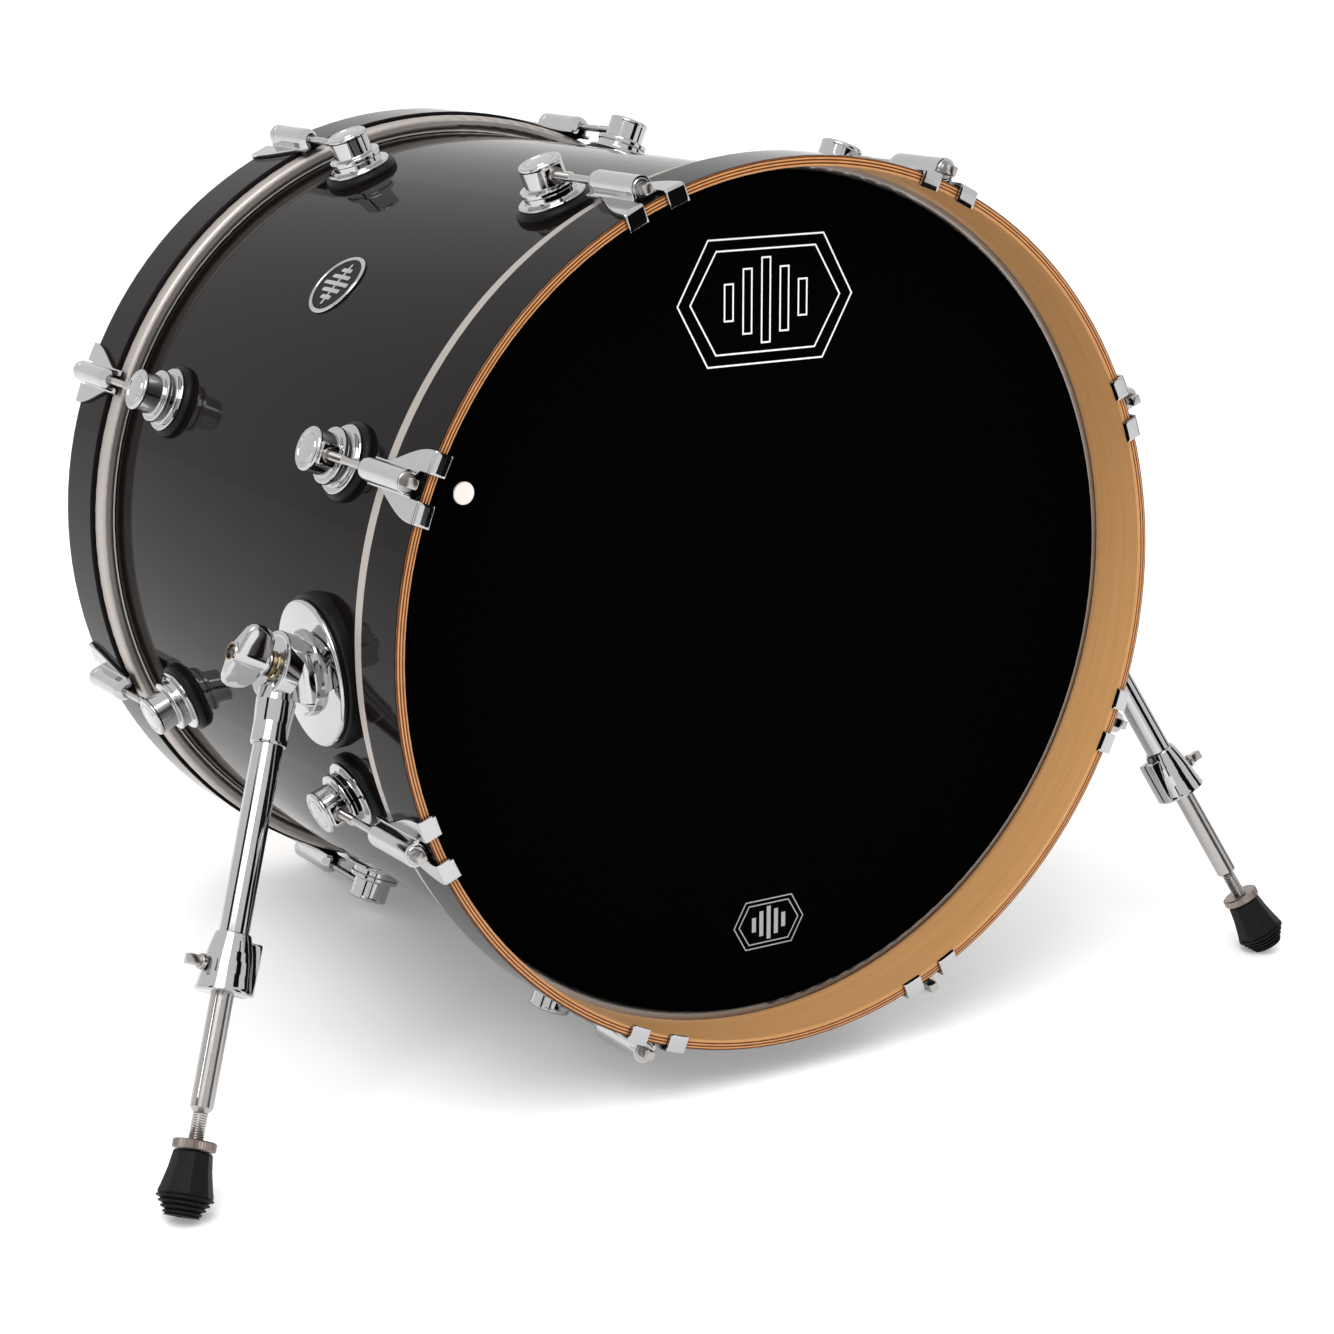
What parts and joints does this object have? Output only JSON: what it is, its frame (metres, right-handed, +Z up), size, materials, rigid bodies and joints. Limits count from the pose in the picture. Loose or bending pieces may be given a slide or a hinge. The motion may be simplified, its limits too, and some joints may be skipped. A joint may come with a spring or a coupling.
{
  "type": "bass drum",
  "caption": "Round double-headed bass drum with lacquered shell, wooden hoops, claw-hooked tension rods, turret lugs and two folding telescopic spurs.",
  "frame": {"origin": "on the floor under the middle of the drum", "axes": "+Y from the front head to the batter head along the floor, +X to the right seen from the front, +Z up; the drum's axis rises 2.83 degrees towards the front"},
  "size_m": [0.9056, 0.5597, 0.6131],
  "materials": {
    "black_lacquer": "deep black gloss lacquer over maple",
    "hoop_maple": "maple ply, clear inside and black gloss lacquer outside",
    "black_film": "matte black head film",
    "coated_film": "coated white head film",
    "satin_aluminium": "satin",
    "chrome": "polished",
    "steel": "plated",
    "dark_nickel": "knurled, dark nickel",
    "brass": "polished",
    "black_rubber": "matte",
    "black_plastic": "matte nylon",
    "pale_plastic": "smooth, cream"
  },
  "bodies": {
    "drum": {"shell": "black_lacquer", "badge": "chrome", "head_eyelet": "pale_plastic", "front_head": "black_film", "rear_head": "coated_film", "front_flesh_hoop": "satin_aluminium", "rear_flesh_hoop": "satin_aluminium", "front_hoop": "hoop_maple", "rear_hoop": "hoop_maple", "front_lugs": "chrome", "rear_lugs": "chrome", "lug_gaskets": "black_rubber", "lug_nuts": "steel", "lug_screws": "steel", "front_claws": "chrome", "rear_claws": "chrome", "claw_pads": "black_rubber", "rod_washers": "black_plastic", "spur_gaskets": "black_rubber", "spur_backing_plates": "steel", "spur_bolts": "steel", "left_bracket": "chrome", "right_bracket": "chrome"},
    "front_rod_1": {"front_rod_1": "steel"},
    "front_rod_2": {"front_rod_2": "steel"},
    "front_rod_3": {"front_rod_3": "steel"},
    "front_rod_4": {"front_rod_4": "steel"},
    "front_rod_5": {"front_rod_5": "steel"},
    "front_rod_6": {"front_rod_6": "steel"},
    "front_rod_7": {"front_rod_7": "steel"},
    "front_rod_8": {"front_rod_8": "steel"},
    "rear_rod_1": {"rear_rod_1": "steel"},
    "rear_rod_2": {"rear_rod_2": "steel"},
    "rear_rod_3": {"rear_rod_3": "steel"},
    "rear_rod_4": {"rear_rod_4": "steel"},
    "rear_rod_5": {"rear_rod_5": "steel"},
    "rear_rod_6": {"rear_rod_6": "steel"},
    "rear_rod_7": {"rear_rod_7": "steel"},
    "rear_rod_8": {"rear_rod_8": "steel"},
    "left_leg": {"left_knuckle": "chrome", "left_tube": "chrome", "left_clamp": "chrome", "left_wing_washer": "brass"},
    "left_wing_nut": {"left_wing_nut": "chrome"},
    "left_clamp_screw": {"left_clamp_screw": "steel"},
    "left_leg_rod": {"left_leg_rod": "steel"},
    "left_lock_nut": {"left_lock_nut": "dark_nickel"},
    "left_foot": {"left_foot": "black_rubber"},
    "right_leg": {"right_knuckle": "chrome", "right_tube": "chrome", "right_clamp": "chrome", "right_wing_washer": "brass"},
    "right_wing_nut": {"right_wing_nut": "chrome"},
    "right_clamp_screw": {"right_clamp_screw": "steel"},
    "right_leg_rod": {"right_leg_rod": "steel"},
    "right_lock_nut": {"right_lock_nut": "dark_nickel"},
    "right_foot": {"right_foot": "black_rubber"}
  },
  "joints": [
    {"name": "front_rod_1_turn", "type": "hinge", "parent": "drum", "child": "front_rod_1", "pos_m": [0.27901, -0.234, 0.43383], "axis": [0, -0.9988, 0.0494], "continuous": true},
    {"name": "front_rod_2_turn", "type": "hinge", "parent": "drum", "child": "front_rod_2", "pos_m": [0.11557, -0.22593, 0.59707], "axis": [0, -0.9988, 0.0494], "continuous": true},
    {"name": "front_rod_3_turn", "type": "hinge", "parent": "drum", "child": "front_rod_3", "pos_m": [-0.11557, -0.22593, 0.59707], "axis": [0, -0.9988, 0.0494], "continuous": true},
    {"name": "front_rod_4_turn", "type": "hinge", "parent": "drum", "child": "front_rod_4", "pos_m": [-0.27901, -0.234, 0.43383], "axis": [0, -0.9988, 0.0494], "continuous": true},
    {"name": "front_rod_5_turn", "type": "hinge", "parent": "drum", "child": "front_rod_5", "pos_m": [-0.27901, -0.24541, 0.20297], "axis": [0, -0.9988, 0.0494], "continuous": true},
    {"name": "front_rod_6_turn", "type": "hinge", "parent": "drum", "child": "front_rod_6", "pos_m": [-0.11557, -0.25348, 0.03973], "axis": [0, -0.9988, 0.0494], "continuous": true},
    {"name": "front_rod_7_turn", "type": "hinge", "parent": "drum", "child": "front_rod_7", "pos_m": [0.11557, -0.25348, 0.03973], "axis": [0, -0.9988, 0.0494], "continuous": true},
    {"name": "front_rod_8_turn", "type": "hinge", "parent": "drum", "child": "front_rod_8", "pos_m": [0.27901, -0.24541, 0.20297], "axis": [0, -0.9988, 0.0494], "continuous": true},
    {"name": "rear_rod_1_turn", "type": "hinge", "parent": "drum", "child": "rear_rod_1", "pos_m": [0.27901, 0.24541, 0.41013], "axis": [0, 0.9988, -0.0494], "continuous": true},
    {"name": "rear_rod_2_turn", "type": "hinge", "parent": "drum", "child": "rear_rod_2", "pos_m": [0.11557, 0.25348, 0.57337], "axis": [0, 0.9988, -0.0494], "continuous": true},
    {"name": "rear_rod_3_turn", "type": "hinge", "parent": "drum", "child": "rear_rod_3", "pos_m": [-0.11557, 0.25348, 0.57337], "axis": [0, 0.9988, -0.0494], "continuous": true},
    {"name": "rear_rod_4_turn", "type": "hinge", "parent": "drum", "child": "rear_rod_4", "pos_m": [-0.27901, 0.24541, 0.41013], "axis": [0, 0.9988, -0.0494], "continuous": true},
    {"name": "rear_rod_5_turn", "type": "hinge", "parent": "drum", "child": "rear_rod_5", "pos_m": [-0.27901, 0.234, 0.17927], "axis": [0, 0.9988, -0.0494], "continuous": true},
    {"name": "rear_rod_6_turn", "type": "hinge", "parent": "drum", "child": "rear_rod_6", "pos_m": [-0.11557, 0.22593, 0.01603], "axis": [0, 0.9988, -0.0494], "continuous": true},
    {"name": "rear_rod_7_turn", "type": "hinge", "parent": "drum", "child": "rear_rod_7", "pos_m": [0.11557, 0.22593, 0.01603], "axis": [0, 0.9988, -0.0494], "continuous": true},
    {"name": "rear_rod_8_turn", "type": "hinge", "parent": "drum", "child": "rear_rod_8", "pos_m": [0.27901, 0.234, 0.17927], "axis": [0, 0.9988, -0.0494], "continuous": true},
    {"name": "left_leg_fold", "type": "hinge", "parent": "drum", "child": "left_leg", "pos_m": [-0.3098, -0.13973, 0.29523], "axis": [0.915, -0.0199, -0.4031], "range_deg": [-10, 100]},
    {"name": "left_wing_nut_turn", "type": "hinge", "parent": "drum", "child": "left_wing_nut", "pos_m": [-0.3281, -0.13933, 0.30329], "axis": [-0.915, 0.0199, 0.4031], "continuous": true},
    {"name": "left_clamp_screw_turn", "type": "hinge", "parent": "left_leg", "child": "left_clamp_screw", "pos_m": [-0.39646, -0.21081, 0.13924], "axis": [-0.915, 0.0199, 0.4031], "continuous": true},
    {"name": "left_leg_slide", "type": "slide", "parent": "left_leg", "child": "left_leg_rod", "axis": [-0.3809, -0.3727, -0.8462], "range_m": [-0.06, 0.04]},
    {"name": "left_foot_travel", "type": "slide", "parent": "left_leg_rod", "child": "left_foot", "axis": [0.3809, 0.3727, 0.8462], "range_m": [0, 0.016]},
    {"name": "left_lock_nut_travel", "type": "slide", "parent": "left_leg_rod", "child": "left_lock_nut", "axis": [0.3809, 0.3727, 0.8462], "range_m": [0, 0.016]},
    {"name": "right_leg_fold", "type": "hinge", "parent": "drum", "child": "right_leg", "pos_m": [0.3098, -0.13973, 0.29523], "axis": [0.915, 0.0199, 0.4031], "range_deg": [-10, 100]},
    {"name": "right_wing_nut_turn", "type": "hinge", "parent": "drum", "child": "right_wing_nut", "pos_m": [0.3281, -0.13933, 0.30329], "axis": [0.915, 0.0199, 0.4031], "continuous": true},
    {"name": "right_clamp_screw_turn", "type": "hinge", "parent": "right_leg", "child": "right_clamp_screw", "pos_m": [0.39646, -0.21081, 0.13924], "axis": [0.915, 0.0199, 0.4031], "continuous": true},
    {"name": "right_leg_slide", "type": "slide", "parent": "right_leg", "child": "right_leg_rod", "axis": [0.3809, -0.3727, -0.8462], "range_m": [-0.06, 0.04]},
    {"name": "right_foot_travel", "type": "slide", "parent": "right_leg_rod", "child": "right_foot", "axis": [-0.3809, 0.3727, 0.8462], "range_m": [0, 0.016]},
    {"name": "right_lock_nut_travel", "type": "slide", "parent": "right_leg_rod", "child": "right_lock_nut", "axis": [-0.3809, 0.3727, 0.8462], "range_m": [0, 0.016]}
  ],
  "couplings": [
    {"joint": "left_lock_nut_travel", "follows": "left_foot_travel", "ratio": 1},
    {"joint": "right_lock_nut_travel", "follows": "right_foot_travel", "ratio": 1}
  ]
}
